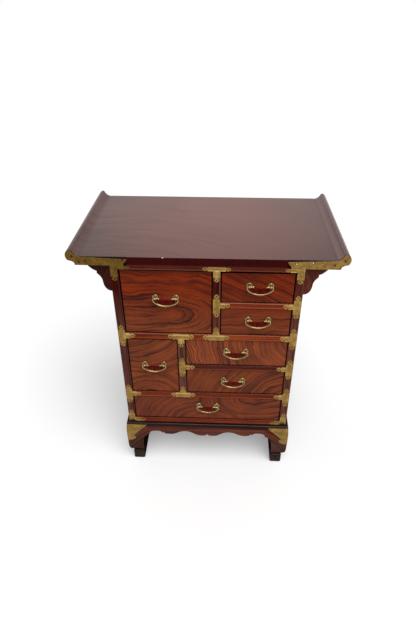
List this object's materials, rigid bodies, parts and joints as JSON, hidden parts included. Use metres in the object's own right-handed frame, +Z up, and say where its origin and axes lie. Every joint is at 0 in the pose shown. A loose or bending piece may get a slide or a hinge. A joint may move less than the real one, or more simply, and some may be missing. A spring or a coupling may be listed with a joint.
{
  "type": "drawer cabinet",
  "caption": "Korean cabinet of drawers in a brass-bound frame, with a turned-up top on brackets and a low stand with scalloped aprons.",
  "frame": {"origin": "on the floor, under the middle of the whole cabinet's box", "axes": "+X to the right seen from the front, +Y to the back, +Z up; the drawers open towards -Y"},
  "size_m": [0.768, 0.433, 0.8568],
  "materials": {
    "frame_wood": "dark red-brown gloss lacquer",
    "drawer_wood": "red-brown gloss lacquer over a bold grain",
    "stand_wood": "dark brown satin lacquer",
    "inside_wood": "bare pale wood",
    "plate_brass": "aged sheet brass",
    "handle_brass": "polished cast brass"
  },
  "bodies": {
    "cabinet": {"top_board": "frame_wood", "left_top_end": "frame_wood", "right_top_end": "frame_wood", "left_side": "frame_wood", "right_side": "frame_wood", "back_panel": "inside_wood", "bottom_board": "inside_wood", "left_stile": "frame_wood", "right_stile": "frame_wood", "top_rail": "frame_wood", "bottom_rail": "frame_wood", "middle_shelf": "frame_wood", "lower_shelf": "frame_wood", "upper_right_shelf": "frame_wood", "lower_right_shelf": "frame_wood", "upper_partition": "frame_wood", "lower_partition": "frame_wood", "left_bracket": "frame_wood", "right_bracket": "frame_wood", "stand_board": "stand_wood", "front_apron": "stand_wood", "back_apron": "stand_wood", "left_apron": "stand_wood", "right_apron": "stand_wood", "front_left_leg": "stand_wood", "front_right_leg": "stand_wood", "back_left_leg": "stand_wood", "back_right_leg": "stand_wood", "left_runner": "stand_wood", "right_runner": "stand_wood", "left_top_plate": "plate_brass", "right_top_plate": "plate_brass"},
    "upper_left_drawer": {"upper_left_front": "drawer_wood", "upper_left_box": "inside_wood", "upper_left_posts": "handle_brass"},
    "upper_left_handle": {"upper_left_bail": "handle_brass"},
    "first_right_drawer": {"first_right_front": "drawer_wood", "first_right_box": "inside_wood", "first_right_posts": "handle_brass"},
    "first_right_handle": {"first_right_bail": "handle_brass"},
    "second_right_drawer": {"second_right_front": "drawer_wood", "second_right_box": "inside_wood", "second_right_posts": "handle_brass"},
    "second_right_handle": {"second_right_bail": "handle_brass"},
    "lower_left_drawer": {"lower_left_front": "drawer_wood", "lower_left_box": "inside_wood", "lower_left_posts": "handle_brass"},
    "lower_left_handle": {"lower_left_bail": "handle_brass"},
    "third_right_drawer": {"third_right_front": "drawer_wood", "third_right_box": "inside_wood", "third_right_posts": "handle_brass"},
    "third_right_handle": {"third_right_bail": "handle_brass"},
    "fourth_right_drawer": {"fourth_right_front": "drawer_wood", "fourth_right_box": "inside_wood", "fourth_right_posts": "handle_brass"},
    "fourth_right_handle": {"fourth_right_bail": "handle_brass"},
    "bottom_drawer": {"bottom_front": "drawer_wood", "bottom_box": "inside_wood", "bottom_posts": "handle_brass"},
    "bottom_handle": {"bottom_bail": "handle_brass"}
  },
  "joints": [
    {"name": "upper_left_slide", "type": "slide", "parent": "cabinet", "child": "upper_left_drawer", "axis": [0, -1, 0], "range_m": [0, 0.28]},
    {"name": "upper_left_bail_swing", "type": "hinge", "parent": "upper_left_drawer", "child": "upper_left_handle", "pos_m": [-0.11864, -0.2105, 0.70299], "axis": [-1, 0, 0], "range_deg": [-15, 195]},
    {"name": "first_right_slide", "type": "slide", "parent": "cabinet", "child": "first_right_drawer", "axis": [0, -1, 0], "range_m": [0, 0.28]},
    {"name": "first_right_bail_swing", "type": "hinge", "parent": "first_right_drawer", "child": "first_right_handle", "pos_m": [0.14874, -0.2105, 0.7485], "axis": [-1, 0, 0], "range_deg": [-15, 195]},
    {"name": "second_right_slide", "type": "slide", "parent": "cabinet", "child": "second_right_drawer", "axis": [0, -1, 0], "range_m": [0, 0.28]},
    {"name": "second_right_bail_swing", "type": "hinge", "parent": "second_right_drawer", "child": "second_right_handle", "pos_m": [0.14936, -0.2105, 0.63198], "axis": [-1, 0, 0], "range_deg": [-15, 195]},
    {"name": "lower_left_slide", "type": "slide", "parent": "cabinet", "child": "lower_left_drawer", "axis": [0, -1, 0], "range_m": [0, 0.28]},
    {"name": "lower_left_bail_swing", "type": "hinge", "parent": "lower_left_drawer", "child": "lower_left_handle", "pos_m": [-0.1671, -0.2105, 0.45056], "axis": [-1, 0, 0], "range_deg": [-15, 195]},
    {"name": "third_right_slide", "type": "slide", "parent": "cabinet", "child": "third_right_drawer", "axis": [0, -1, 0], "range_m": [0, 0.28]},
    {"name": "third_right_bail_swing", "type": "hinge", "parent": "third_right_drawer", "child": "third_right_handle", "pos_m": [0.08856, -0.2105, 0.511], "axis": [-1, 0, 0], "range_deg": [-15, 195]},
    {"name": "fourth_right_slide", "type": "slide", "parent": "cabinet", "child": "fourth_right_drawer", "axis": [0, -1, 0], "range_m": [0, 0.28]},
    {"name": "fourth_right_bail_swing", "type": "hinge", "parent": "fourth_right_drawer", "child": "fourth_right_handle", "pos_m": [0.08322, -0.2105, 0.3903], "axis": [-1, 0, 0], "range_deg": [-15, 195]},
    {"name": "bottom_slide", "type": "slide", "parent": "cabinet", "child": "bottom_drawer", "axis": [0, -1, 0], "range_m": [0, 0.28]},
    {"name": "bottom_bail_swing", "type": "hinge", "parent": "bottom_drawer", "child": "bottom_handle", "pos_m": [0.00197, -0.2105, 0.27144], "axis": [-1, 0, 0], "range_deg": [-15, 195]}
  ]
}
